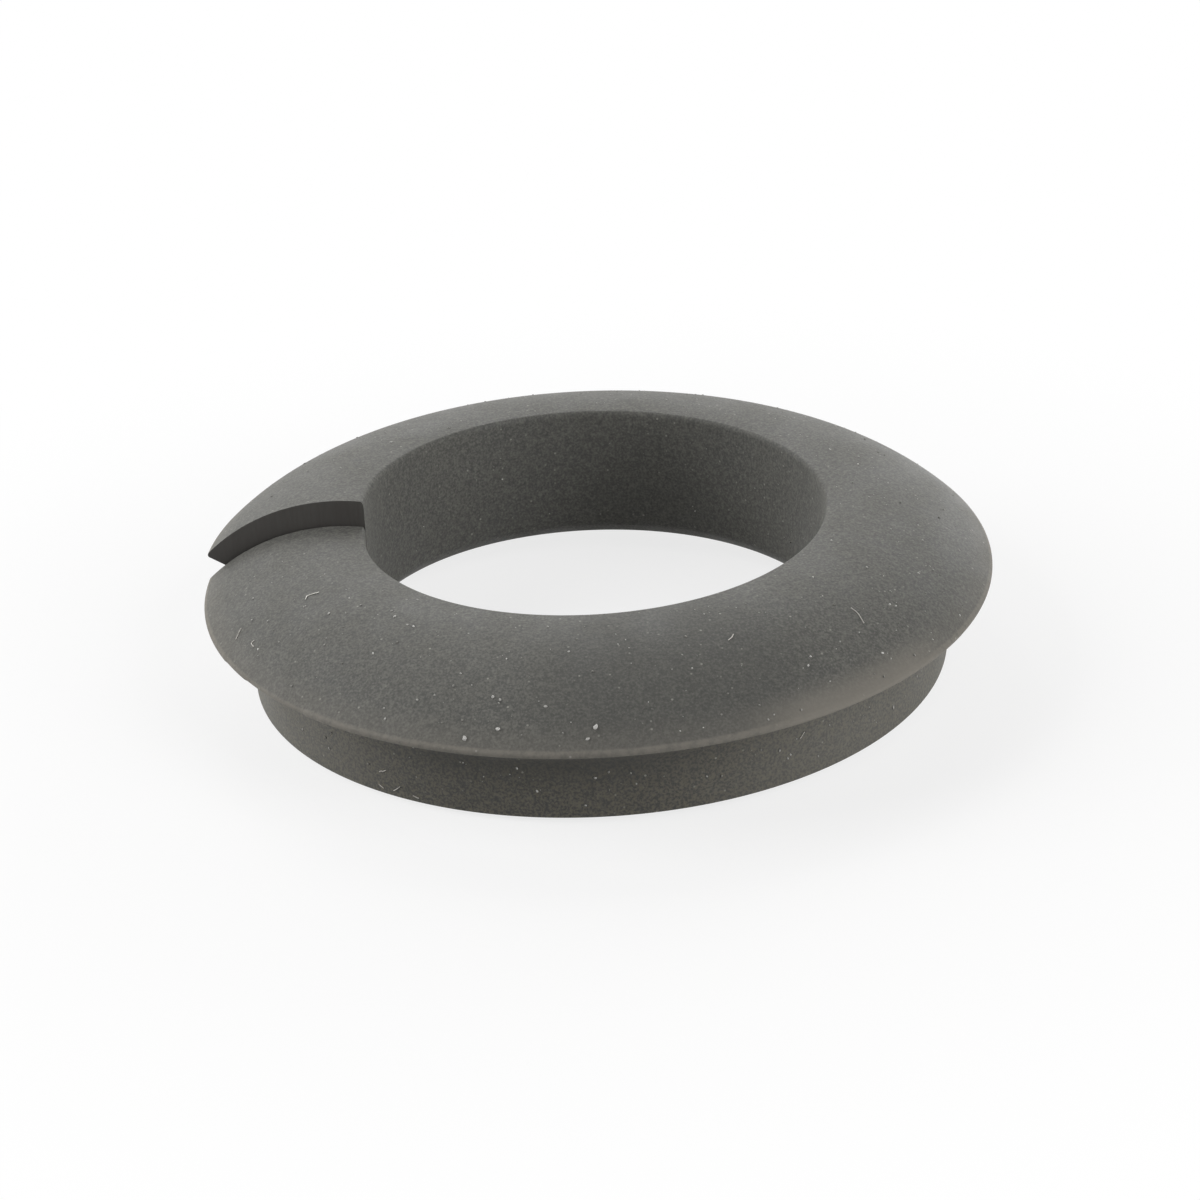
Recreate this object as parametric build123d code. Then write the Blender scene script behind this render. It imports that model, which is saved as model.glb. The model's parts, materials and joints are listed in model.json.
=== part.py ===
"""Split rubber bumper ring, one moulding.

The section has a domed top that falls from a straight bore to a thin lip, and a set-back base under the lip.
It is swept round +Z on a shallow right-hand helix, because the ring is cut through once and has sprung: the
end behind the cut stands above the end in front of it. The cut is straight but isn't quite radial, and it
crosses the crown circle at -X. The origin is on the bore's axis, level with the lowest point of the base.
Lengths are in millimetres and angles in degrees.
"""
from build123d import *

import os
from math import asin, degrees, pi, radians, sqrt, tan

# Overall sizes of the section
lip_diameter = 36.0
base_diameter = 32.0
bore_diameter = 21.0
crown_diameter = 22.8
crown_height = 6.8
lip_height = 4.0

# Lip and base
lip_edge_thickness = 0.16
lip_edge_bevel = 0.04
lip_underside_angle = 28.0
base_edge_bevel = 0.08

# Bore
bore_edge_radius = 0.2
bore_lead_in = 0.8
bore_skim = 0.04

# Cut through the ring, and the spring of its ends
cut_width = 0.2
cut_offset = 1.1
ring_rise = 1.2

# How far the bore's cutter runs past the ring
overrun = 2.0


def corner_at(section, point):
    """The section's corner at a point."""
    return section.vertices().sort_by_distance(point)[0]


def reach(diameter):
    """Where a circle round the axis meets the plane of the cut, measured along that plane."""
    return sqrt((diameter / 2) ** 2 - cut_offset**2)


def slant(diameter):
    """Angle between the cut and the radius, where the cut crosses a circle round the axis."""
    return degrees(asin(cut_offset / (diameter / 2)))


def ring_section():
    """Section in the plane of the cut, X outward and Y upward, with a thin skin left on the bore wall."""
    lip_radius = reach(lip_diameter)
    base_radius = reach(base_diameter)
    crown_radius = reach(crown_diameter)
    wall_radius = reach(bore_diameter - 2 * bore_skim)
    lip_top = (lip_radius, lip_height + lip_edge_thickness / 2)
    lip_under = (lip_radius, lip_height - lip_edge_thickness / 2)
    lip_root = (base_radius, lip_under[1] - (lip_radius - base_radius) * tan(radians(lip_underside_angle)))
    base_foot = (base_radius, 0)
    bore_foot = (wall_radius, 0)

    # The dome is one arc that is level over the crown circle
    dome_run = lip_radius - crown_radius
    dome_drop = crown_height - lip_top[1]
    dome_radius = (dome_run**2 + dome_drop**2) / (2 * dome_drop)

    def dome_point(radius):
        rise = sqrt(dome_radius**2 - (radius - crown_radius) ** 2)
        return (radius, crown_height - dome_radius + rise)

    bore_top = dome_point(wall_radius)
    dome_middle = dome_point((wall_radius + lip_radius) / 2)

    sides = Polyline(bore_top, bore_foot, base_foot, lip_root, lip_under, lip_top)
    dome = ThreePointArc(lip_top, dome_middle, bore_top)
    section = make_face(sides + dome)
    section = chamfer(corner_at(section, bore_foot), bore_lead_in + bore_skim)
    section = chamfer(corner_at(section, base_foot), base_edge_bevel)
    section = chamfer(corner_at(section, lip_under), lip_edge_bevel)
    section = chamfer(corner_at(section, lip_top), lip_edge_bevel)
    return fillet(corner_at(section, bore_top), bore_edge_radius)


def bumper_ring():
    """The section swept once round the axis, short of a full turn by the cut, then bored straight through."""
    cut_angle = 360 * cut_width / (pi * lip_diameter)
    swept_rise = ring_rise * (360 - cut_angle) / 360
    path = Helix(pitch=ring_rise, height=swept_rise, radius=crown_diameter / 2)
    section = Plane.XZ.offset(-cut_offset) * ring_section()
    section = Rot(Z=-slant(crown_diameter)) * section
    ring = sweep(section, path=path, is_frenet=True)
    ring = Rot(Z=180 + cut_angle / 2) * ring

    # The cutter's own seam lies in the cut
    seam_angle = 180 + slant(bore_diameter) - slant(crown_diameter)
    bore_length = crown_height + ring_rise + 2 * overrun
    bore_start = Pos(Z=-overrun) * Rot(Z=seam_angle)
    bore = bore_start * Cylinder(bore_diameter / 2, bore_length, align=(Align.CENTER, Align.CENTER, Align.MIN))
    return ring - bore


os.makedirs("parts", exist_ok=True)
export_step(bumper_ring(), "parts/bumper_ring.step")
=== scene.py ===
"""Split rubber bumper ring, dressed for a studio picture.

The ring's section is drawn once, turned round the bore's axis on a shallow helix, closed at its cut and given
a matte rubber finish, with some light and shade painted into its colour. Dust specks and lint fibres lie on
it.
Lengths are in metres, unless a comment says millimetres.
"""
import json
from math import asin, atan2, cos, degrees, pi, radians, sin, sqrt, tan
from random import Random

import bpy
from bpy.props import FloatProperty, FloatVectorProperty, IntProperty, PointerProperty
from bpy.types import Operator, Panel, PropertyGroup
from mathutils import Matrix, Quaternion, Vector


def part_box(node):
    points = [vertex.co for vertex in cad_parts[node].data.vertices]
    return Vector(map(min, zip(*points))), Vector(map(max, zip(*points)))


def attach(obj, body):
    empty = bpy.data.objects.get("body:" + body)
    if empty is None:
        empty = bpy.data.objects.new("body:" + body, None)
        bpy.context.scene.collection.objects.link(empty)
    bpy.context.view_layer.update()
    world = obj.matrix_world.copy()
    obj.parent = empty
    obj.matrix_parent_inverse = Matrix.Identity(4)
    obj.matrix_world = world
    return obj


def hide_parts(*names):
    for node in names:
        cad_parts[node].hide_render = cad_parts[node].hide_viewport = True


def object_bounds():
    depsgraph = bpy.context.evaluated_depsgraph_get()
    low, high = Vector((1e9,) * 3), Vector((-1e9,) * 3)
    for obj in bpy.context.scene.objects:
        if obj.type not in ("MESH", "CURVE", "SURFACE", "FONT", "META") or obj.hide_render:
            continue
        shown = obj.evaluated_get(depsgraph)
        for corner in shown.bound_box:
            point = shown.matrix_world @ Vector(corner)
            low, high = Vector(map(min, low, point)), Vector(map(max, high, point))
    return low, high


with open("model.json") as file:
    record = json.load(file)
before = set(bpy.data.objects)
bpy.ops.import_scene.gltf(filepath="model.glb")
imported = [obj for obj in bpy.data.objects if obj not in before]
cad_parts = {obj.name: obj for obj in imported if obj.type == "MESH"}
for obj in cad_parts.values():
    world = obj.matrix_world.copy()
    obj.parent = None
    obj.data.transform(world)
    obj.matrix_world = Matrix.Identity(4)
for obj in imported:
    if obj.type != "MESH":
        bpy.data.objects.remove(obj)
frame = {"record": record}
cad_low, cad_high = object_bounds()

bl_info = {
    "name": "Rubber bumper ring",
    "version": (1, 0, 0),
    "blender": (4, 5, 0),
    "location": "View3D > Sidebar > Bumper",
    "description": "Models a split rubber bumper ring, the dust on it and a studio for its picture",
    "category": "Object",
}

ring_low, ring_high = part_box("bumper_ring")
lip_reach = min(-ring_low.x, ring_high.x, -ring_low.y, ring_high.y)
millimetre = 0.001
bore_diameter = 2 * millimetre * frame["record"]["mounts"][0]["dims"]["r_mm"]

# Steps along the curves
dome_steps = 44
turn_steps = 420
corner_steps = 4
wide_corner_steps = 5
smooth_angle = radians(32)

# Two places nearer than this are the same corner, or lie in the same plane
near = 0.01 * millimetre
merge_distance = 0.002 * millimetre


def length(name, description, default):
    """A length that the sidebar shows in the scene's units."""
    return FloatProperty(
        name=name, description=description, default=default, min=0.0, unit="LENGTH", precision=5)


def angle(name, description, default):
    """An angle, given in degrees."""
    return FloatProperty(
        name=name, description=description, default=radians(default), unit="ROTATION", precision=3)


def share(name, description, default):
    """A share between none and all."""
    return FloatProperty(
        name=name, description=description, default=default, min=0.0, max=1.0, subtype="FACTOR")


def colour(name, description, default):
    """A colour in linear red, green and blue."""
    return FloatVectorProperty(
        name=name, description=description, default=default, min=0.0, max=1.0, subtype="COLOR")


class RingSizes(PropertyGroup):
    """Sizes of the moulded ring, its cut and its spring."""

    lip_diameter: length("Lip diameter", "Across the lip, the widest part", 2 * lip_reach)
    base_diameter: length("Base diameter", "Across the set-back base", 0.032)
    bore_diameter: length("Bore diameter", "Across the straight bore", bore_diameter)
    crown_diameter: length("Crown diameter", "Circle where the dome is level", 0.0228)
    crown_height: length("Crown height", "Dome above the foot of the base", 0.00679)
    lip_height: length("Lip height", "Middle of the lip's edge above the foot of the base", 0.004)
    lip_edge_thickness: length("Lip edge", "Thickness of the lip at its edge", 0.00016)
    lip_edge_round: length("Lip edge round", "Softening of the lip's two corners", 0.00006)
    lip_underside: angle("Lip underside", "Slope of the lip's underside", 28.0)
    lip_root_round: length("Lip root round", "Fillet where the lip meets the base", 0.0005)
    base_edge_round: length("Base edge round", "Softening of the foot of the base", 0.00004)
    bore_edge_round: length("Bore edge round", "Softening of the bore's upper edge", 0.0003)
    bore_lead_in: length("Bore lead-in", "Bevel of the bore's lower edge", 0.0008)
    lead_in_round: length("Lead-in round", "Softening of the lead-in's two corners", 0.0003)
    cut_width: length("Cut width", "Gap of the cut at the lip", 0.0002)
    cut_offset: length("Cut offset", "How far the cut passes beside the axis", 0.0011)
    ring_rise: length("Ring rise", "Spring of the ends, the rise in one turn", 0.0012)
    trim_width: length("Trim width", "How far in from its edge the lip is trimmed", 0.000295)


class RubberFinish(PropertyGroup):
    """Colours, wear and grain of the rubber, and the light and shade painted into its colour."""

    rubber: colour("Rubber", "Moulded skin", (0.121, 0.120, 0.108))
    rubber_dark: colour("Darker rubber", "Darker patches of the skin", (0.105, 0.105, 0.096))
    # The grain hollows' colour is also the colour of the painted shade on the dome and under the lip
    grain_dark_and_shade: colour("Grain hollows", "Hollows of the fine grain", (0.066, 0.066, 0.062))
    # The grain tops' colour is also the colour of the painted light on the sides of the base
    grain_pale_and_light: colour("Grain tops", "Rubbed tops of the fine grain", (0.205, 0.200, 0.180))
    # The lip bloom colour is also the colour of the painted highlight along the lip
    lip_bloom_and_highlight: colour("Lip bloom", "Pale bloom along the lip's edge", (0.235, 0.218, 0.188))
    cut_rubber: colour("Cut rubber", "Face of the knife cut", (0.072, 0.066, 0.062))
    speckle: colour("Speckle", "Fine dust worked into the skin", (0.40, 0.39, 0.35))

    grain_share: share("Grain share", "How strongly the grain shows", 0.62)
    fleck_share: share("Fleck share", "How strongly the coarser flecks show", 0.36)
    grain_size: length("Grain size", "Fine grain of the moulded skin", 0.00011)
    fleck_size: length("Fleck size", "Coarser flecks of the skin", 0.000275)
    mottle_size: length("Mottle size", "Soft patches of the skin", 0.0022)
    grain_depth: length("Grain depth", "Height of the fine grain", 0.000014)
    gloss: share("Gloss", "Specular level of the rubber", 0.3)

    # Painted shade on the front of the dome, where it faces away from the lights, in the colour of the grain
    # hollows
    front_shade_share: share("Handled share", "How strongly the handled front of the dome darkens", 0.34)
    front_shade_turn: angle("Handled turn", "Where the handled front of the dome is", 283.0)
    front_shade_inset: length("Handled inset", "How far in from the lip the handled front is", 0.0028)
    front_shade_lift: length("Handled lift", "How far above the lip the handled front is", 0.0015)
    front_shade_core: length("Handled core", "Where the handled front starts to fade", 0.0035)
    front_shade_reach: length("Handled reach", "Where the handled front has faded", 0.0075)

    # Painted light and shade on the base: its sides are painted paler, and its front is left darker
    lit_sides_share: share("Dusty share", "How strongly dust pales the sides of the base", 0.30)
    # Painted shade in the corner under the lip in front, darkest at the top of the base
    under_lip_shade_share: share("Corner share", "How strongly the corner under the lip darkens in front", 0.62)
    shaded_front_turn: angle("Clean turn", "Where the base carries the least dust", 262.0)
    shaded_front_core: length("Clean core", "Where the clean front of the base starts to fade", 0.004)
    under_lip_shade_reach: length("Corner reach", "Where the dark corner under the lip has faded", 0.009)
    lit_sides_reach: length("Dusty reach", "Where the base is dusty all over", 0.012)
    under_lip_shade_low: length("Corner low", "Height where the dark corner starts", 0.0012)
    under_lip_shade_high: length("Corner high", "Height where the dark corner is darkest", 0.0032)
    grime: colour("Grime", "Brown grime on the base", (0.178, 0.152, 0.102))
    grime_share: share("Grime share", "How strongly the brown grime shows", 0.45)
    grit_share: share("Grit share", "How strongly the hollows between the grime show", 0.48)

    # The bloom is a pale tint of the lip; on the worn stretch it is a painted highlight, where the light from
    # the right falls on the lip
    bloom_share: share("Bloom share", "How strongly the lip's edge pales", 0.22)
    bloom_and_highlight_width: length("Bloom width", "How far in from the edge the bloom reaches", 0.0013)
    lip_highlight_share: share("Worn share", "How strongly the worn stretch of the lip pales", 0.82)
    lip_highlight_turn: angle("Worn turn", "Where the worn stretch of the lip is", 309.0)
    lip_highlight_core: length("Worn core", "Where the worn stretch starts to fade", 0.0025)
    lip_highlight_reach: length("Worn reach", "Where the worn stretch has faded", 0.0065)
    # The rubbed line at the very edge is partly rubbed wear and partly a painted highlight on the lip's thin
    # edge face
    rubbed_and_lit_share: share("Rubbed share", "How strongly the very edge of the lip pales", 0.75)
    rubbed_and_lit_width: length("Rubbed width", "How far in from the edge the rubbed line reaches", 0.00017)

    speckle_share: share("Speckle share", "How strongly the palest speckle shows", 0.75)
    speckle_spacing: length("Speckle spacing", "How far apart the speckle lies", 0.00042)


class DustSettings(PropertyGroup):
    """Loose specks and fibres on the rubber."""

    dust: colour("Dust", "Palest loose specks", (0.74, 0.73, 0.70))
    dull_dust: colour("Dull dust", "Dullest loose specks", (0.24, 0.235, 0.215))
    lint: colour("Lint", "Palest loose fibre", (0.94, 0.92, 0.86))
    dull_lint: colour("Dull lint", "Other loose fibres", (0.74, 0.71, 0.66))
    fine_count: IntProperty(name="Fine specks", description="Small specks all round", default=620, min=0)
    seed: IntProperty(name="Seed", description="Start of the random draws", default=11, min=0)
    fine_size: length("Fine size", "Usual width of a small speck", 0.00006)
    pale_width: length("Pale width", "Specks at least this wide are pale", 0.00016)
    tint_size: length("Tint size", "How far apart pale and dull specks lie", 0.0011)
    lint_radius: length("Lint radius", "Half the thickness of a fibre", 0.000022)


class StudioSettings(PropertyGroup):
    """Camera, lights and floor."""

    lens: FloatProperty(
        name="Lens", description="Focal length on a 36 mm sensor", default=85.54, unit="CAMERA")
    distance: length("Distance", "Camera to its target", 0.13177)
    azimuth: angle("Azimuth", "Camera's turn round the ring, from the front", 1.895)
    elevation: angle("Elevation", "Camera's height above the floor", 25.89)
    roll: angle("Roll", "Camera's own turn", -2.797)
    target: FloatVectorProperty(
        name="Target", description="Point at the middle of the picture",
        default=(0.000056, 0.000002, 0.00256), unit="LENGTH", precision=6)
    light_distance: length("Light distance", "Each light to the ring", 0.45)
    floor_radius: length("Floor radius", "Half the width of the floor", 0.9)
    floor: colour("Floor", "Plain pale floor", (0.60, 0.60, 0.60))
    shadow_share: share("Shadow share", "How much of the shadow the picture keeps", 0.22)
    fade_start: length("Fade start", "Where the shadow starts to fade to white", 0.020)
    fade_end: length("Fade end", "Where the shadow has faded to white", 0.048)
    sky: FloatProperty(name="Sky", description="Strength of the even light all round", default=0.0, min=0.0)


def deselect_all():
    """Leave edit mode, with nothing selected."""
    if bpy.context.object and bpy.context.object.mode != "OBJECT":
        bpy.ops.object.mode_set(mode="OBJECT")
    bpy.ops.object.select_all(action="DESELECT")


def start_point(name, place):
    """A new mesh in edit mode with one selected vertex at a place."""
    deselect_all()
    bpy.ops.mesh.primitive_plane_add(size=2 * millimetre, location=(0, 0, 0))
    piece = bpy.context.object
    piece.name = name
    piece.data.name = name
    bpy.ops.object.mode_set(mode="EDIT")
    bpy.ops.mesh.select_mode(type="VERT")
    bpy.ops.mesh.select_all(action="SELECT")
    bpy.ops.mesh.merge(type="CENTER")
    bpy.ops.transform.translate(value=place)
    return piece


def extrude_by(step):
    """Extend the selected end of a line by a step."""
    bpy.ops.mesh.extrude_region_move(TRANSFORM_OT_translate={"value": step})


def select_vertices(piece, wanted):
    """Select only the vertices whose place passes a test."""
    bpy.ops.object.mode_set(mode="OBJECT")
    for face in piece.data.polygons:
        face.select = False
    for edge in piece.data.edges:
        edge.select = False
    count = 0
    for vertex in piece.data.vertices:
        vertex.select = wanted(vertex.co)
        count += vertex.select
    bpy.ops.object.mode_set(mode="EDIT")
    if count == 0:
        raise RuntimeError("no vertex to select on " + piece.name)


def soften_corner(piece, corner, radius, segments):
    """Round one corner of a drawn line, or bevel it with a single segment."""
    select_vertices(piece, lambda place: (place - corner).length < near)
    bpy.ops.mesh.bevel(
        offset=radius, offset_type="OFFSET", segments=segments, profile=0.5, affect="VERTICES")


def apply_place(piece):
    """Put an object's place, turn and scale into its mesh."""
    deselect_all()
    piece.select_set(True)
    bpy.context.view_layer.objects.active = piece
    bpy.ops.object.transform_apply(location=True, rotation=True, scale=True)


def draw_section(sizes):
    """Closed line of the ring's section, in the plane of the cut."""
    beside = sizes.cut_offset

    def reach(diameter):
        return sqrt((diameter / 2) ** 2 - beside**2)

    lip_out = reach(sizes.lip_diameter)
    base_out = reach(sizes.base_diameter)
    crown_out = reach(sizes.crown_diameter)
    wall_out = reach(sizes.bore_diameter)
    lip_top_height = sizes.lip_height + sizes.lip_edge_thickness / 2
    lip_under_height = sizes.lip_height - sizes.lip_edge_thickness / 2
    root_height = lip_under_height - (lip_out - base_out) * tan(sizes.lip_underside)

    # The dome is one arc that is level over the crown circle
    dome_run = lip_out - crown_out
    dome_drop = sizes.crown_height - lip_top_height
    dome_radius = (dome_run**2 + dome_drop**2) / (2 * dome_drop)
    dome_centre = Vector((crown_out, beside, sizes.crown_height - dome_radius))
    bore_top_height = dome_centre.z + sqrt(dome_radius**2 - (crown_out - wall_out) ** 2)
    dome_angle = asin(dome_run / dome_radius) + asin((crown_out - wall_out) / dome_radius)

    bore_top = Vector((wall_out, beside, bore_top_height))
    bore_foot = Vector((wall_out, beside, 0))
    base_foot = Vector((base_out, beside, 0))
    lip_root = Vector((base_out, beside, root_height))
    lip_under = Vector((lip_out, beside, lip_under_height))
    lip_top = Vector((lip_out, beside, lip_top_height))
    corners = [bore_top, bore_foot, base_foot, lip_root, lip_under, lip_top]

    section = start_point("rubber_ring", bore_top)
    for here, there in zip(corners, corners[1:]):
        extrude_by(there - here)
    bpy.ops.mesh.spin(steps=dome_steps, angle=dome_angle, center=dome_centre, axis=(0, 1, 0))
    bpy.ops.mesh.select_all(action="SELECT")
    bpy.ops.mesh.remove_doubles(threshold=merge_distance)

    soften_corner(section, bore_foot, sizes.bore_lead_in, 1)
    lead_in_wall = bore_foot + Vector((0, 0, sizes.bore_lead_in))
    lead_in_foot = bore_foot + Vector((sizes.bore_lead_in, 0, 0))
    soften_corner(section, lead_in_wall, sizes.lead_in_round, corner_steps)
    soften_corner(section, lead_in_foot, sizes.lead_in_round, corner_steps)
    soften_corner(section, base_foot, sizes.base_edge_round, corner_steps)
    soften_corner(section, lip_root, sizes.lip_root_round, wide_corner_steps)
    soften_corner(section, lip_under, sizes.lip_edge_round, corner_steps)
    soften_corner(section, lip_top, sizes.lip_edge_round, corner_steps)
    soften_corner(section, bore_top, sizes.bore_edge_round, wide_corner_steps)
    bpy.ops.object.mode_set(mode="OBJECT")
    return section


def cut_angles(sizes):
    """Turn that the cut takes out of the ring, and the cut's slant to the radius at the crown circle."""
    gap = sizes.cut_width / (sizes.lip_diameter / 2)
    slant = asin(sizes.cut_offset / (sizes.crown_diameter / 2))
    return gap, slant


def turn_section(ring, sizes):
    """Turn the section once round the axis, short of a full turn by the cut, rising as it goes."""
    gap, slant = cut_angles(sizes)
    ring.rotation_euler.z = pi + gap / 2 - slant
    apply_place(ring)
    bpy.ops.object.modifier_add(type="SCREW")
    turn = ring.modifiers[-1]
    turn.axis = "Z"
    turn.angle = 2 * pi - gap
    turn.screw_offset = sizes.ring_rise * (1 - gap / (2 * pi))
    turn.steps = turn_steps
    turn.render_steps = turn_steps
    turn.use_merge_vertices = False
    bpy.ops.object.modifier_apply(modifier=turn.name)


def close_cut(ring, sizes):
    """Fill the two faces of the knife cut and give them the second material slot."""
    gap, slant = cut_angles(sizes)
    for side in (1, -1):
        heading = pi + side * gap / 2 - slant
        across = Vector((-sin(heading), cos(heading), 0))
        along = Vector((cos(heading), sin(heading), 0))

        def on_face(place):
            return abs(place.dot(across) - sizes.cut_offset) < near and place.dot(along) > 0

        select_vertices(ring, on_face)
        bpy.ops.mesh.edge_face_add()
        ring.active_material_index = 1
        bpy.ops.object.material_slot_assign()
    bpy.ops.mesh.select_all(action="SELECT")
    bpy.ops.mesh.normals_make_consistent(inside=False)
    bpy.ops.object.mode_set(mode="OBJECT")


# Stretches of the lip whose flash was trimmed: start and end in degrees, and the share of the radius left
trimmed_stretches = (
    (213, 227.6, 0.9955),
    (206, 213, 0.9980),
)


def trim_lip(ring, sizes):
    """Set back the trimmed stretch of the lip, which ends in a small step."""
    trim_out = sizes.lip_diameter / 2 - sizes.trim_width
    for start, end, left_share in trimmed_stretches:

        def on_lip(place):
            turn = degrees(atan2(place.y, place.x)) % 360
            return place.xy.length > trim_out and start <= turn < end

        select_vertices(ring, on_lip)
        bpy.ops.transform.resize(value=(left_share, left_share, 1), center_override=(0, 0, 0))
    bpy.ops.object.mode_set(mode="OBJECT")


def new_material(name):
    """A node material with only its output and shader."""
    material = bpy.data.materials.new(name)
    material.use_nodes = True
    return material, material.node_tree, material.node_tree.nodes["Principled BSDF"]


def add_node(tree, kind, settings=None, values=None):
    """A node with its settings and its unlinked inputs."""
    node = tree.nodes.new(kind)
    for name, value in (settings or {}).items():
        setattr(node, name, value)
    for name, value in (values or {}).items():
        node.inputs[name].default_value = value
    return node


def object_coordinates(tree):
    """Places on a piece, in the frame that all pieces share."""
    return tree.nodes.new("ShaderNodeTexCoord").outputs["Object"]


def noise(tree, coordinates, size, detail=3, roughness=0.6):
    """Noise whose features have about a given size."""
    values = {"Scale": 1 / size, "Detail": detail, "Roughness": roughness}
    node = add_node(tree, "ShaderNodeTexNoise", None, values)
    tree.links.new(coordinates, node.inputs["Vector"])
    return node.outputs["Fac"]


def remap(tree, value, start, end, low, high, smooth=False):
    """Carry a range of values over to another one."""
    settings = {"interpolation_type": "SMOOTHSTEP" if smooth else "LINEAR"}
    values = {"From Min": start, "From Max": end, "To Min": low, "To Max": high}
    node = add_node(tree, "ShaderNodeMapRange", settings, values)
    tree.links.new(value, node.inputs["Value"])
    return node.outputs["Result"]


def multiply(tree, first, second):
    """Product of two values."""
    node = add_node(tree, "ShaderNodeMath", {"operation": "MULTIPLY"})
    tree.links.new(first, node.inputs[0])
    tree.links.new(second, node.inputs[1])
    return node.outputs[0]


def mix_colours(tree, factor, first, second):
    """Mix of two colours, each a socket or a plain colour."""
    node = add_node(tree, "ShaderNodeMix", {"data_type": "RGBA"})
    tree.links.new(factor, node.inputs["Factor"])
    for socket, tone in ((node.inputs[6], first), (node.inputs[7], second)):
        if isinstance(tone, bpy.types.NodeSocket):
            tree.links.new(tone, socket)
        else:
            socket.default_value = (*tone, 1.0)
    return node.outputs[2]


def bump(tree, height, depth, strength, under=None):
    """Bump of a given depth, over another one if there is one."""
    node = add_node(tree, "ShaderNodeBump", None, {"Distance": depth, "Strength": strength})
    tree.links.new(height, node.inputs["Height"])
    if under is not None:
        tree.links.new(under, node.inputs["Normal"])
    return node.outputs["Normal"]


def distance_from(tree, coordinates, place):
    """How far a point is from a place."""
    node = add_node(tree, "ShaderNodeVectorMath", {"operation": "DISTANCE"})
    tree.links.new(coordinates, node.inputs[0])
    node.inputs[1].default_value = place
    return node.outputs["Value"]


def distance_from_axis(tree, coordinates):
    """How far a point is from the bore's axis."""
    flat = add_node(tree, "ShaderNodeVectorMath", {"operation": "MULTIPLY"})
    flat.inputs[1].default_value = (1, 1, 0)
    tree.links.new(coordinates, flat.inputs[0])
    size = add_node(tree, "ShaderNodeVectorMath", {"operation": "LENGTH"})
    tree.links.new(flat.outputs["Vector"], size.inputs[0])
    return size.outputs["Value"]


def height_above_floor(tree, coordinates):
    """How high a point is."""
    split = add_node(tree, "ShaderNodeSeparateXYZ")
    tree.links.new(coordinates, split.inputs[0])
    return split.outputs["Z"]


def place_round(turn, out, height):
    """Place at a turn round the axis, a distance out and a height."""
    return Vector((out * cos(turn), out * sin(turn), height))


# Values of the noise between which each effect grows
noise_range = (0.3, 0.7)
mottle_range = (0.35, 0.65)
hollow_range = (0.50, 0.34)
top_range = (0.50, 0.68)
dust_range = (0.42, 0.66)
rub_range = (0.3, 0.6)
grime_range = (0.44, 0.60)
grit_range = (0.50, 0.41)

# Sizes of a worked-in speck inside its cell, and the cells that have one
spot_range = (0.08, 0.15)
kept_range = (0.5, 1.0)

# How far the base's grime and its painted light and shade reach in from its wall, out under the lip and up
# past the lip
wall_inside = (0.10 * millimetre, 0.04 * millimetre)
wall_outside = (0.1 * millimetre, 0.6 * millimetre)

# Where the bloom with its painted highlight, and the rubbed line, partly a painted highlight, are at their
# full strength, in from the lip's edge
bloom_and_highlight_full = 0.10 * millimetre
rubbed_and_lit_full = 0.085 * millimetre
least_rub_share = 0.4

# Roughness where the noise is low and where it is high
skin_roughness = (0.6, 0.74)
cut_roughness = (0.5, 0.65)
dust_roughness = (0.8, 0.95)

# Strength of the bumps, and gloss of the dust
fleck_bump = 0.5
grain_bump = 0.6
line_bump = 0.5
dust_gloss = 0.2

# Drag lines on the cut: how much longer than wide, how much wider than the grain, and how pale
drag_squeeze = 0.12
drag_width = 1.5
drag_shares = (0.05, 0.45)


def grained_tone(tree, mottle, flecks, grain, finish):
    """Colour of the skin: soft patches, then the hollows and rubbed tops of the flecks and the grain."""
    tone = mix_colours(tree, remap(tree, mottle, *mottle_range, 0, 1), finish.rubber_dark, finish.rubber)
    for field, amount in ((flecks, finish.fleck_share), (grain, finish.grain_share)):
        tone = mix_colours(tree, remap(tree, field, *hollow_range, 0, amount), tone, finish.grain_dark_and_shade)
        tone = mix_colours(tree, remap(tree, field, *top_range, 0, amount), tone, finish.grain_pale_and_light)
    return tone


def paint_front_dome_shade(tree, coordinates, tone, finish, sizes):
    """Painted shade: darken the front of the dome, which faces away from the lights."""
    out = sizes.lip_diameter / 2 - finish.front_shade_inset
    place = place_round(finish.front_shade_turn, out, sizes.lip_height + finish.front_shade_lift)
    away = distance_from(tree, coordinates, place)
    fade = (finish.front_shade_core, finish.front_shade_reach)
    return mix_colours(
        tree, remap(tree, away, *fade, finish.front_shade_share, 0, smooth=True), tone, finish.grain_dark_and_shade)


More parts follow.
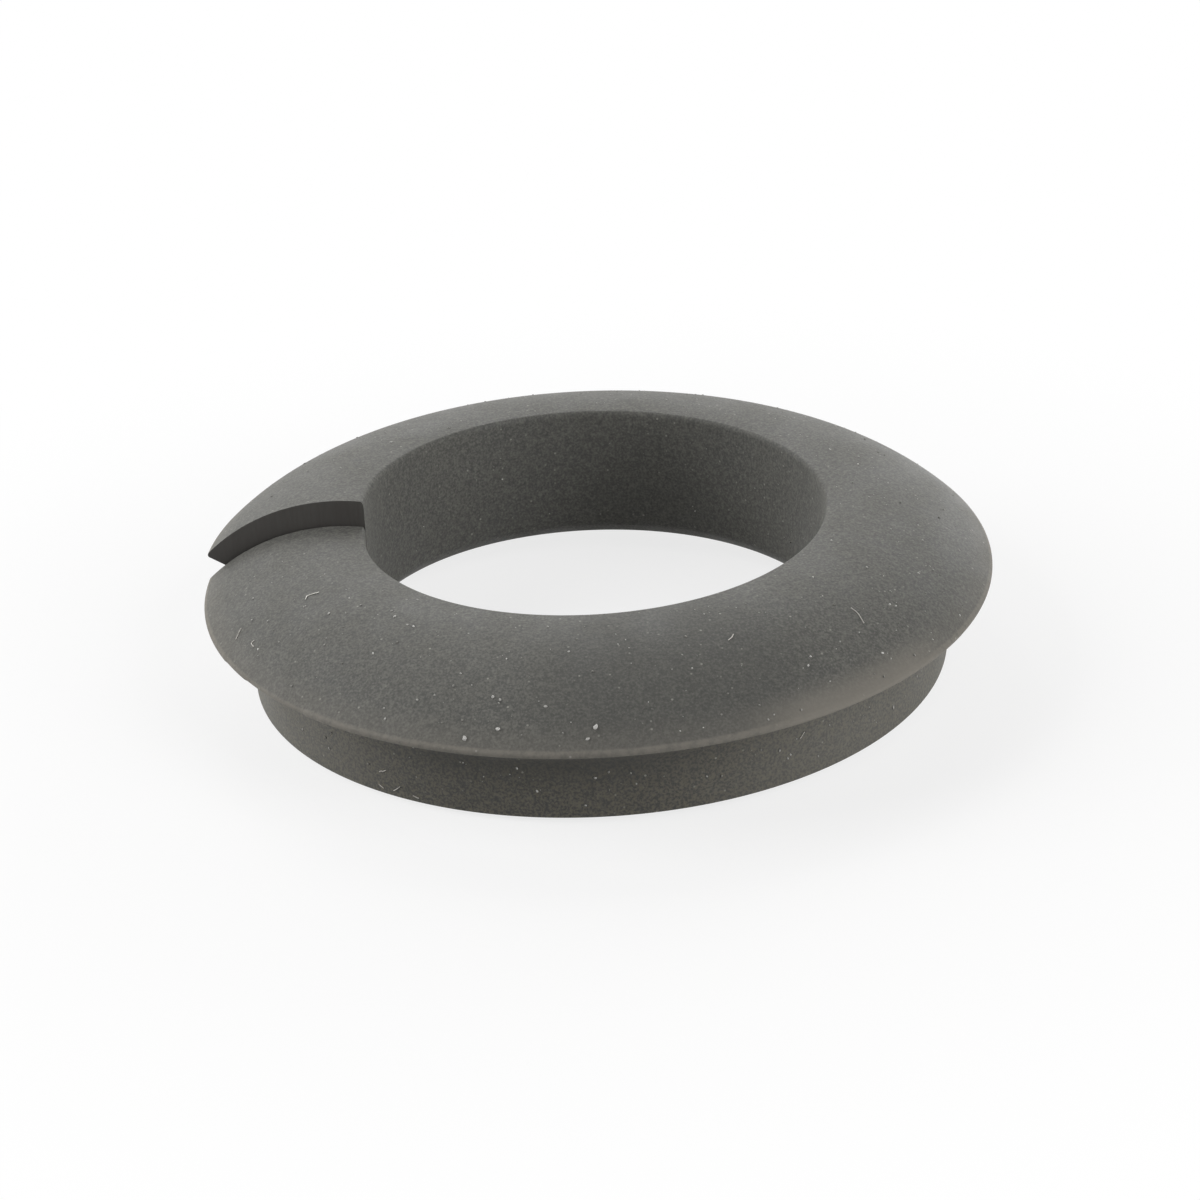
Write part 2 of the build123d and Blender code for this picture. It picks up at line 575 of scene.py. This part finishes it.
def grime_and_painted_light_on_base(tree, coordinates, tone, grain, finish, sizes):
    """Grime all over the base, painted light that pales its sides, and painted shade in the corner under the
    lip in front.
    """
    base_out = sizes.base_diameter / 2
    out = distance_from_axis(tree, coordinates)
    height = height_above_floor(tree, coordinates)
    on_base = remap(tree, out, base_out - wall_inside[0], base_out - wall_inside[1], 0, 1)
    under_lip = remap(tree, out, base_out + wall_outside[0], base_out + wall_outside[1], 1, 0)
    below_dome = remap(
        tree, height, sizes.lip_height + wall_outside[0], sizes.lip_height + wall_outside[1], 1, 0)
    on_base = multiply(tree, multiply(tree, on_base, under_lip), below_dome)

    gritty = remap(tree, grain, *grit_range, 0, finish.grit_share)
    tone = mix_colours(tree, multiply(tree, on_base, gritty), tone, finish.grain_dark_and_shade)
    grimy = remap(tree, grain, *grime_range, 0, finish.grime_share)
    tone = mix_colours(tree, multiply(tree, on_base, grimy), tone, finish.grime)

    # Painted light: the base pales away from its front, where the light from the sides falls on it
    shaded_front_place = place_round(finish.shaded_front_turn, base_out, sizes.lip_height - millimetre)
    away = distance_from(tree, coordinates, shaded_front_place)
    painted_paler = remap(tree, away, finish.shaded_front_core, finish.lit_sides_reach, 0, finish.lit_sides_share, smooth=True)
    tone = mix_colours(tree, multiply(tree, on_base, painted_paler), tone, finish.grain_pale_and_light)

    # Painted shade: the corner under the lip in front is darkened, fading downwards and to the sides
    corner = remap(tree, height, finish.under_lip_shade_low, finish.under_lip_shade_high, 0, finish.under_lip_shade_share, smooth=True)
    corner = multiply(tree, corner, remap(tree, away, finish.shaded_front_core, finish.under_lip_shade_reach, 1, 0))
    return mix_colours(tree, multiply(tree, on_base, corner), tone, finish.grain_dark_and_shade)


def pale_lip(tree, coordinates, tone, flecks, finish, sizes):
    """Pale bloom along the lip with a painted highlight on its right, and a narrow line at its very edge,
    partly rubbed wear and partly painted highlight.
    """
    lip_out = sizes.lip_diameter / 2
    out = distance_from_axis(tree, coordinates)
    # Painted highlight: the lip pales most on the stretch that the light from the right falls on
    lip_highlight_place = place_round(finish.lip_highlight_turn, lip_out, sizes.lip_height + sizes.ring_rise / 2)
    away = distance_from(tree, coordinates, lip_highlight_place)
    fade = (finish.lip_highlight_core, finish.lip_highlight_reach)
    paling = remap(tree, away, *fade, finish.lip_highlight_share, finish.bloom_share, smooth=True)
    at_edge = remap(tree, out, lip_out - finish.bloom_and_highlight_width, lip_out - bloom_and_highlight_full, 0, 1, smooth=True)
    tone = mix_colours(tree, multiply(tree, at_edge, paling), tone, finish.lip_bloom_and_highlight)

    # Partly rubbed wear and partly a painted highlight: a narrow pale line at the lip's very edge, broken up
    # by the flecks
    line = (lip_out - finish.rubbed_and_lit_width, lip_out - rubbed_and_lit_full)
    rubbed = remap(tree, out, *line, 0, finish.rubbed_and_lit_share, smooth=True)
    rubbed = multiply(tree, rubbed, remap(tree, flecks, *rub_range, least_rub_share, 1))
    return mix_colours(tree, rubbed, tone, finish.lip_bloom_and_highlight)


def work_in_dust(tree, coordinates, tone, finish):
    """Fine pale specks in the skin, one in some of the cells that divide it."""
    cells = add_node(tree, "ShaderNodeTexVoronoi", None, {"Scale": 1 / finish.speckle_spacing})
    tree.links.new(coordinates, cells.inputs["Vector"])
    spots = remap(tree, cells.outputs["Distance"], *spot_range, 1, 0)
    drawn = add_node(tree, "ShaderNodeSeparateColor")
    tree.links.new(cells.outputs["Color"], drawn.inputs["Color"])
    kept = remap(tree, drawn.outputs["Red"], *kept_range, 0, finish.speckle_share)
    return mix_colours(tree, multiply(tree, spots, kept), tone, finish.speckle)


def moulded_rubber(finish, sizes):
    """Matte moulded skin with fine grain, soft patches, painted shade on the dome and the base, painted light
    on the base's sides, worked-in dust and a pale lip with a painted highlight.
    """
    material, tree, shader = new_material("moulded_rubber")
    coordinates = object_coordinates(tree)
    grain = noise(tree, coordinates, finish.grain_size)
    flecks = noise(tree, coordinates, finish.fleck_size)
    mottle = noise(tree, coordinates, finish.mottle_size, detail=4)

    tone = grained_tone(tree, mottle, flecks, grain, finish)
    tone = paint_front_dome_shade(tree, coordinates, tone, finish, sizes)
    tone = grime_and_painted_light_on_base(tree, coordinates, tone, grain, finish, sizes)
    tone = pale_lip(tree, coordinates, tone, flecks, finish, sizes)
    tone = work_in_dust(tree, coordinates, tone, finish)

    relief = bump(tree, flecks, finish.grain_depth, fleck_bump)
    relief = bump(tree, grain, finish.grain_depth, grain_bump, relief)
    tree.links.new(tone, shader.inputs["Base Color"])
    tree.links.new(remap(tree, mottle, *noise_range, *skin_roughness), shader.inputs["Roughness"])
    tree.links.new(relief, shader.inputs["Normal"])
    shader.inputs["Specular IOR Level"].default_value = finish.gloss
    return material


def cut_rubber(finish):
    """Face of the knife cut: darker, with faint drag lines down it."""
    material, tree, shader = new_material("cut_rubber")
    stretch = add_node(tree, "ShaderNodeMapping", None, {"Scale": (1, 1, drag_squeeze)})
    tree.links.new(object_coordinates(tree), stretch.inputs["Vector"])
    lines = noise(tree, stretch.outputs["Vector"], drag_width * finish.grain_size)
    paling = remap(tree, lines, *noise_range, *drag_shares)
    tone = mix_colours(tree, paling, finish.cut_rubber, finish.rubber_dark)
    tree.links.new(tone, shader.inputs["Base Color"])
    tree.links.new(remap(tree, lines, *noise_range, *cut_roughness), shader.inputs["Roughness"])
    tree.links.new(bump(tree, lines, finish.grain_depth, line_bump), shader.inputs["Normal"])
    shader.inputs["Specular IOR Level"].default_value = finish.gloss
    return material


def dust_material(name, dull, pale, size):
    """Dull loose dust, paler in some places than in others."""
    material, tree, shader = new_material(name)
    uneven = noise(tree, object_coordinates(tree), size, detail=2, roughness=0.5)
    tone = mix_colours(tree, remap(tree, uneven, *dust_range, 0, 1), dull, pale)
    tree.links.new(tone, shader.inputs["Base Color"])
    tree.links.new(remap(tree, uneven, *noise_range, *dust_roughness), shader.inputs["Roughness"])
    shader.inputs["Specular IOR Level"].default_value = dust_gloss
    return material


class BUMPER_OT_model_ring(Operator):
    """Model the rubber ring with its lip, bore, cut and spring"""

    bl_idname = "bumper.model_ring"
    bl_label = "Model ring"
    bl_options = {"REGISTER", "UNDO"}

    def execute(self, context):
        sizes = context.scene.ring_sizes
        finish = context.scene.rubber_finish
        ring = draw_section(sizes)
        turn_section(ring, sizes)
        ring.data.materials.append(moulded_rubber(finish, sizes))
        ring.data.materials.append(cut_rubber(finish))
        close_cut(ring, sizes)
        trim_lip(ring, sizes)
        bpy.ops.object.shade_smooth_by_angle(angle=smooth_angle)
        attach(ring, "root")
        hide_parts("bumper_ring")
        return {"FINISHED"}


def point_on_ring(ring, turn, out=None, height=None, inside=False):
    """Place and normal of the skin, from above at a distance out, or from the side at a height.

    The turn is in degrees, the distance and the height in millimetres.
    """
    heading = Vector((cos(radians(turn)), sin(radians(turn)), 0))
    up = Vector((0, 0, 1))
    if height is None:
        start, direction = heading * out * millimetre + up * 2 * cad_high.z, -up
    elif inside:
        start, direction = up * height * millimetre, heading
    else:
        start, direction = heading * 2 * cad_high.x + up * height * millimetre, -heading
    found, place, normal, _ = ring.ray_cast(start, direction)
    if not found:
        raise RuntimeError("a speck misses the ring")
    return place, normal


# A grain of dust, a unit across before it is shaped
speck_unevenness = 0.13
speck_even_share = 0.6
speck_normal_share = 0.4
speck_seed = 3
speck_shape = (1.0, 0.8, 0.6)


def speck_model():
    """One uneven grain of dust, modelled at the origin."""
    deselect_all()
    bpy.ops.mesh.primitive_ico_sphere_add(subdivisions=1, radius=0.5, location=(0, 0, 0))
    grain = bpy.context.object
    grain.name = "dust_specks"
    bpy.ops.object.mode_set(mode="EDIT")
    bpy.ops.mesh.select_all(action="SELECT")
    bpy.ops.transform.vertex_random(
        offset=speck_unevenness, uniform=speck_even_share, normal=speck_normal_share, seed=speck_seed)
    bpy.ops.transform.resize(value=speck_shape, center_override=(0, 0, 0))
    bpy.ops.object.mode_set(mode="OBJECT")
    return grain


def seat_copy(model, place, normal, width, spin, stretch):
    """A copy of a model, with its own mesh, sunk a little into the skin."""
    copy = model.copy()
    copy.data = model.data.copy()
    bpy.context.collection.objects.link(copy)
    upright = normal.to_track_quat("Z", "Y").to_matrix().to_4x4()
    scale = Matrix.Diagonal((width * stretch, width, width, 1))
    lift = Matrix.Translation(place + normal * width / 8)
    copy.matrix_world = lift @ upright @ Matrix.Rotation(spin, 4, "Z") @ scale
    return copy


def join_pieces(pieces, name):
    """One smooth object from many, with its place in its mesh."""
    deselect_all()
    for piece in pieces:
        piece.select_set(True)
    bpy.context.view_layer.objects.active = pieces[0]
    bpy.ops.object.join()
    joined = bpy.context.object
    apply_place(joined)
    joined.name = name
    joined.data.name = name
    bpy.ops.object.shade_smooth()
    return joined


# Specks that stand out. On the dome: turn in degrees, distance out and width in millimetres.
dome_specks = (
    (253, 17.6, 0.22), (270.7, 17.1, 0.21), (257.3, 17.2, 0.20), (269.6, 17.5, 0.15), (252, 17.0, 0.13),
    (244.3, 16.5, 0.14), (255.5, 16.0, 0.14), (256.7, 16.1, 0.13), (246.6, 16.2, 0.10), (248.9, 15.7, 0.11),
    (240.7, 17.4, 0.12), (249.2, 17.2, 0.09), (263.6, 16.3, 0.13), (289.8, 16.5, 0.13), (287.9, 17.2, 0.12),
    (294, 17.7, 0.11), (295, 17.6, 0.09), (303.4, 16.3, 0.12), (315.7, 17.0, 0.13), (320.4, 17.6, 0.12),
    (316.3, 17.3, 0.09), (310.7, 17.0, 0.10), (299, 17.7, 0.12), (313.3, 17.7, 0.13), (312.2, 17.5, 0.10),
    (314.9, 15.9, 0.10), (310.8, 15.9, 0.10), (216.9, 14.2, 0.12), (222.7, 15.5, 0.11), (227.2, 12.6, 0.10),
    (233.5, 13.1, 0.10), (235, 13.1, 0.11), (234.9, 14.2, 0.12), (228.6, 15.9, 0.10), (211.4, 17.0, 0.11),
    (210.6, 16.1, 0.09), (222.6, 14.4, 0.09), (210.6, 14.6, 0.08), (261.3, 11.8, 0.10), (249.2, 15.1, 0.10),
    (315.9, 14.3, 0.12), (324.4, 15.6, 0.11), (325.1, 15.8, 0.10), (325.5, 14.9, 0.10), (327.3, 15.2, 0.10),
    (357.9, 15.6, 0.11), (346.6, 15.0, 0.10), (336.1, 15.5, 0.11), (334, 17.6, 0.11),
)
# On the base: turn in degrees, height and width in millimetres.
base_specks = (
    (224, 1.3, 0.12), (232.7, 1.4, 0.11), (295.6, 2.4, 0.10), (298.8, 2.1, 0.13), (270.1, 2.2, 0.12),
    (272.1, 1.6, 0.09), (289.1, 1.6, 0.12), (258.5, 2.6, 0.10), (268.5, 0.9, 0.10), (323.1, 1.6, 0.15),
    (305.8, 1.2, 0.10), (300.2, 1.6, 0.09),
)

# Draws for the fine specks: turns clear of the cut in degrees, the dome's distances out and the heights on
# the base and in the bore in millimetres, and the shares on the dome and on the whole outside
clear_turns = (185, 535)
dome_band = (11.0, 17.6)
base_band = (1.4, 2.6)
bore_band = (2.2, 6.2)
dome_share = 0.68
outside_share = 0.92

# Widths of the fine specks as shares of the usual width, how fast wide ones grow rare, and their lengths
least_width_share = 0.55
most_width_share = 2
rarity = 2.2
stretch_range = (0.9, 1.5)

# How dark the darker end of the pale dust, of the lint and of the palest fibre is, as a share of its colour
pale_dust_share = 0.8
lint_share = 0.8
pale_lint_share = 0.9


def fine_seat(ring, draw):
    """A drawn place and normal for one fine speck, with its share of the usual width."""
    turn = draw.uniform(*clear_turns)
    width_share = min(least_width_share + draw.expovariate(rarity), most_width_share)
    side = draw.random()
    if side < dome_share:
        inner, outer = dome_band
        place, normal = point_on_ring(ring, turn, out=sqrt(draw.uniform(inner**2, outer**2)))
    elif side < outside_share:
        place, normal = point_on_ring(ring, turn, height=draw.uniform(*base_band))
    else:
        place, normal = point_on_ring(ring, turn, height=draw.uniform(*bore_band), inside=True)
    return place, normal, width_share


class BUMPER_OT_scatter_specks(Operator):
    """Scatter dust specks on the ring, the noticeable ones in their places and fine ones all round"""

    bl_idname = "bumper.scatter_specks"
    bl_label = "Scatter specks"
    bl_options = {"REGISTER", "UNDO"}

    def execute(self, context):
        settings = context.scene.dust_settings
        ring = bpy.data.objects["rubber_ring"]
        context.view_layer.update()
        draw = Random(settings.seed)
        model = speck_model()
        dust = dust_material("loose_dust", settings.dull_dust, settings.dust, settings.tint_size)
        dimmed = pale_dust_share * Vector(settings.dust)
        pale_dust = dust_material("pale_dust", dimmed, settings.dust, settings.tint_size)
        model.data.materials.append(dust)

        seats = []
        for turn, out, width in dome_specks:
            seats.append((*point_on_ring(ring, turn, out=out), width * millimetre))
        for turn, height, width in base_specks:
            seats.append((*point_on_ring(ring, turn, height=height), width * millimetre))
        for _ in range(settings.fine_count):
            place, normal, width_share = fine_seat(ring, draw)
            seats.append((place, normal, settings.fine_size * width_share))

        specks = []
        for place, normal, width in seats:
            spin = draw.uniform(0, 2 * pi)
            stretch = draw.uniform(*stretch_range)
            if place.z + width < cad_high.z:
                speck = seat_copy(model, place, normal, width, spin, stretch)
                if width >= settings.pale_width:
                    speck.data.materials[0] = pale_dust
                specks.append(speck)
        bpy.data.objects.remove(model)
        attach(join_pieces(specks, "dust_specks"), "root")
        return {"FINISHED"}


# Fibres on the dome: turn and distance out at five points along each, in degrees and millimetres. The first
# is the palest.
dome_fibres = (
    ((209.02, 13.67), (208.58, 13.87), (208.18, 14.07), (208.12, 14.19), (208.94, 14.31)),
    ((209.00, 16.85), (208.93, 16.93), (208.93, 17.00), (209.44, 17.02), (210.03, 17.03)),
    ((203.68, 16.92), (204.02, 17.02), (204.38, 17.12), (204.70, 17.23), (204.95, 17.31)),
    ((317.8, 14.82), (317.9, 15.02), (317.8, 15.24), (317.4, 15.46), (317.1, 15.67)),
    ((293.9, 14.12), (294.2, 14.08), (294.6, 14.04), (295.0, 13.96), (295.3, 13.88)),
)
# Fibres on the base: turn and height.
base_fibres = (
    ((234.9, 1.20), (235.2, 1.26), (235.6, 1.27), (236.0, 1.33), (236.3, 1.38)),
    ((234.6, 0.57), (234.8, 0.54), (235.0, 0.52), (235.2, 0.48), (235.5, 0.45)),
    ((237.4, 0.48), (237.8, 0.54), (238.1, 0.62), (238.4, 0.69), (238.7, 0.77)),
    ((241.0, 0.50), (241.3, 0.49), (241.5, 0.46), (241.7, 0.45), (242.0, 0.43)),
    ((302.4, 2.36), (302.6, 2.40), (302.8, 2.46), (303.0, 2.53), (303.3, 2.60)),
)
fibre_order = 3
fibre_steps = 4


def lay_fibre(route, radius, material):
    """One fibre along points of the skin, each with its normal, made a mesh."""
    deselect_all()
    bpy.ops.curve.primitive_nurbs_path_add(radius=millimetre, location=(0, 0, 0))
    fibre = bpy.context.object
    line = fibre.data.splines[0]
    for point, (place, normal) in zip(line.points, route):
        point.co = (*(place + normal * radius), 1)
    line.order_u = fibre_order
    fibre.data.bevel_depth = radius
    fibre.data.bevel_resolution = 1
    fibre.data.resolution_u = fibre_steps
    fibre.data.use_fill_caps = True
    bpy.ops.object.convert(target="MESH")
    fibre = bpy.context.object
    fibre.data.materials.append(material)
    return fibre


class BUMPER_OT_lay_lint(Operator):
    """Lay short lint fibres on the ring"""

    bl_idname = "bumper.lay_lint"
    bl_label = "Lay lint"
    bl_options = {"REGISTER", "UNDO"}

    def execute(self, context):
        settings = context.scene.dust_settings
        ring = bpy.data.objects["rubber_ring"]
        routes = []
        for fibre in dome_fibres:
            routes.append([point_on_ring(ring, turn, out=out) for turn, out in fibre])
        for fibre in base_fibres:
            routes.append([point_on_ring(ring, turn, height=height) for turn, height in fibre])
        dimmed = lint_share * Vector(settings.dull_lint)
        lint = dust_material("loose_lint", dimmed, settings.dull_lint, settings.tint_size)
        pale_dimmed = pale_lint_share * Vector(settings.lint)
        pale_lint = dust_material("pale_lint", pale_dimmed, settings.lint, settings.tint_size)
        fibres = []
        for number, route in enumerate(routes):
            fibres.append(lay_fibre(route, settings.lint_radius, pale_lint if number == 0 else lint))
        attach(join_pieces(fibres, "lint_fibres"), "root")
        return {"FINISHED"}


# Lights: turn from the front and height in degrees, width, and how bright each makes a white sheet facing it
lights = {
    "back_light": (180, 35, 0.30, 0.260),
    "back_left_light": (-150, 35, 0.30, 0.273),
    "back_right_light": (150, 12, 0.18, 0.230),
    "left_light": (-90, 35, 0.30, 0.521),
    "left_low_light": (-90, 12, 0.18, 0.268),
    "right_light": (60, 35, 0.30, 0.379),
    "right_low_light": (60, 12, 0.18, 0.287),
}
floor_corners = 96
sensor_width = 36.0
nearest_seen = 0.005
farthest_seen = 20.0
white = (1, 1, 1, 1)


def direction_to(azimuth, elevation):
    """Direction from the ring to a light or the camera, from the front and above the floor."""
    return Vector((sin(azimuth) * cos(elevation), -cos(azimuth) * cos(elevation), sin(elevation)))


def place_light(name, azimuth, elevation, distance, size, level):
    """Square soft light that shines at the ring."""
    toward = direction_to(azimuth, elevation)
    bpy.ops.object.light_add(type="AREA", location=toward * distance)
    light = bpy.context.object
    light.name = name
    light.rotation_euler = toward.to_track_quat("Z", "Y").to_euler()
    light.data.shape = "SQUARE"
    light.data.size = size
    light.data.energy = level * (pi * distance) ** 2


def place_camera(studio):
    """Camera that looks at its target from the picture's side, turned a little about its own axis."""
    toward = direction_to(studio.azimuth, studio.elevation)
    facing = toward.to_track_quat("Z", "Y") @ Quaternion((0, 0, 1), studio.roll)
    place = Vector(studio.target) + toward * studio.distance
    bpy.ops.object.camera_add(location=place, rotation=facing.to_euler())
    camera = bpy.context.object
    camera.name = "picture_camera"
    camera.data.sensor_width = sensor_width
    camera.data.lens = studio.lens
    camera.data.clip_start = nearest_seen
    camera.data.clip_end = farthest_seen
    return camera


def seen_directly(tree):
    """One where a camera, glossy or transmission ray looks, and nought for the light itself."""
    path = tree.nodes.new("ShaderNodeLightPath")
    seen = path.outputs["Is Camera Ray"]
    for name in ("Is Glossy Ray", "Is Transmission Ray"):
        node = add_node(tree, "ShaderNodeMath", {"operation": "ADD", "use_clamp": True})
        tree.links.new(seen, node.inputs[0])
        tree.links.new(path.outputs[name], node.inputs[1])
        seen = node.outputs[0]
    return seen


def mix_shaders(tree, factor, first, second):
    """Mix of two shaders."""
    node = tree.nodes.new("ShaderNodeMixShader")
    tree.links.new(factor, node.inputs[0])
    tree.links.new(first.outputs[0], node.inputs[1])
    tree.links.new(second.outputs[0], node.inputs[2])
    return node


def floor_material(studio):
    """Pale floor that keeps a soft shadow and fades to white away from the ring."""
    material = bpy.data.materials.new("studio_floor")
    material.use_nodes = True
    tree = material.node_tree
    tree.nodes.clear()
    paint = add_node(tree, "ShaderNodeBsdfDiffuse", None, {"Color": (*studio.floor, 1.0)})
    pale_paint = add_node(tree, "ShaderNodeBsdfDiffuse", None, {"Color": white})
    glow = add_node(tree, "ShaderNodeEmission", None, {"Color": white, "Strength": 1.0})
    out = distance_from_axis(tree, object_coordinates(tree))
    fade = (studio.fade_start, studio.fade_end)
    paling = remap(tree, out, *fade, 1 - studio.shadow_share, 1, smooth=True)
    picture = mix_shaders(tree, paling, pale_paint, glow)
    either = mix_shaders(tree, seen_directly(tree), paint, picture)
    output = tree.nodes.new("ShaderNodeOutputMaterial")
    tree.links.new(either.outputs[0], output.inputs["Surface"])
    return material


def light_sky(studio):
    """Even light all round, at its own strength, that looks white to the camera."""
    world = bpy.context.scene.world or bpy.data.worlds.new("studio_sky")
    bpy.context.scene.world = world
    world.use_nodes = True
    tree = world.node_tree
    tree.nodes.clear()
    sky = add_node(tree, "ShaderNodeBackground", None, {"Color": white, "Strength": studio.sky})
    glow = add_node(tree, "ShaderNodeBackground", None, {"Color": white, "Strength": 1.0})
    either = mix_shaders(tree, seen_directly(tree), sky, glow)
    output = tree.nodes.new("ShaderNodeOutputWorld")
    tree.links.new(either.outputs[0], output.inputs["Surface"])


class BUMPER_OT_set_stage(Operator):
    """Set the floor, the lights and the camera"""

    bl_idname = "bumper.set_stage"
    bl_label = "Set stage"
    bl_options = {"REGISTER", "UNDO"}

    def execute(self, context):
        studio = context.scene.studio
        deselect_all()
        bpy.ops.mesh.primitive_circle_add(
            vertices=floor_corners, radius=studio.floor_radius, fill_type="NGON", location=(0, 0, 0))
        floor = context.object
        floor.name = "studio_floor"
        floor.data.materials.append(floor_material(studio))
        light_sky(studio)
        for name, (turn, height, width, level) in lights.items():
            place_light(name, radians(turn), radians(height), studio.light_distance, width, level)
        context.scene.camera = place_camera(studio)
        context.scene.view_settings.view_transform = "Standard"
        return {"FINISHED"}


class BUMPER_PT_sidebar(Panel):
    """Sizes, colours and steps of the bumper ring"""

    bl_idname = "BUMPER_PT_sidebar"
    bl_label = "Bumper ring"
    bl_space_type = "VIEW_3D"
    bl_region_type = "UI"
    bl_category = "Bumper"

    def draw(self, context):
        operators_by_group = {
            "ring_sizes": (),
            "rubber_finish": (BUMPER_OT_model_ring,),
            "dust_settings": (BUMPER_OT_scatter_specks, BUMPER_OT_lay_lint),
            "studio": (BUMPER_OT_set_stage,),
        }
        for group, operators in operators_by_group.items():
            settings = getattr(context.scene, group)
            box = self.layout.box()
            for name in settings.bl_rna.properties.keys():
                if name not in ("rna_type", "name"):
                    box.prop(settings, name)
            for operator in operators:
                box.operator(operator.bl_idname)


groups_by_name = {
    "ring_sizes": RingSizes,
    "rubber_finish": RubberFinish,
    "dust_settings": DustSettings,
    "studio": StudioSettings,
}
steps = (
    BUMPER_OT_model_ring,
    BUMPER_OT_scatter_specks,
    BUMPER_OT_lay_lint,
    BUMPER_OT_set_stage,
    BUMPER_PT_sidebar,
)


def register():
    for name, group in groups_by_name.items():
        bpy.utils.register_class(group)
        setattr(bpy.types.Scene, name, PointerProperty(type=group))
    for step in steps:
        bpy.utils.register_class(step)


def unregister():
    for step in reversed(steps):
        bpy.utils.unregister_class(step)
    for name, group in groups_by_name.items():
        delattr(bpy.types.Scene, name)
        bpy.utils.unregister_class(group)


def main():
    register()
    bpy.ops.bumper.model_ring()
    bpy.ops.bumper.scatter_specks()
    bpy.ops.bumper.lay_lint()
    bpy.ops.bumper.set_stage()


if __name__ == "__main__":
    main()
